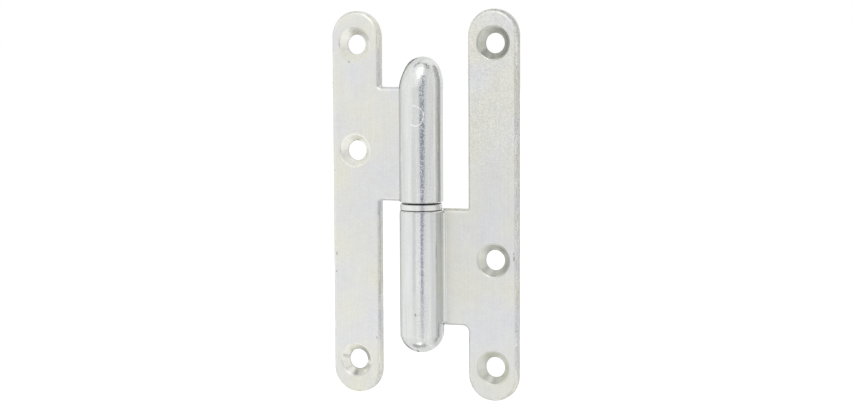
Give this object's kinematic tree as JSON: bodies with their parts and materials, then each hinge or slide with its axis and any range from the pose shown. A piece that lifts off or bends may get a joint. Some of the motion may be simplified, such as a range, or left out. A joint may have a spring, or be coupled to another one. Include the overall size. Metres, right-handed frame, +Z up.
{
  "type": "lift-off hinge",
  "caption": "Flat steel lift-off hinge with round-ended leaves, countersunk screw holes and rolled, domed eyes that turn on a pin over a loose bearing ring.",
  "frame": {"origin": "on the pin's axis at the hinge's mid height", "axes": "+Z up along the pin, the way the door leaf lifts off; +X towards the frame leaf; -Y towards the viewer, out of the countersunk front faces"},
  "size_m": [0.0562, 0.0124, 0.11],
  "materials": {
    "frame_leaf": "bright zinc plate",
    "door_leaf": "bright zinc plate",
    "pin": "bright drawn",
    "ring": "bright zinc plate"
  },
  "bodies": {
    "frame": {"frame_leaf": "frame_leaf", "pin": "pin"},
    "ring": {"ring": "ring"},
    "door": {"door_leaf": "door_leaf"}
  },
  "joints": [
    {"name": "swing", "type": "hinge", "parent": "frame", "child": "ring", "pos_m": [0, 0, 0], "axis": [0, 0, 1], "range_deg": [-145, 180]},
    {"name": "lift_off", "type": "slide", "parent": "ring", "child": "door", "axis": [0, 0, 1], "range_m": [0, 0.031]}
  ]
}
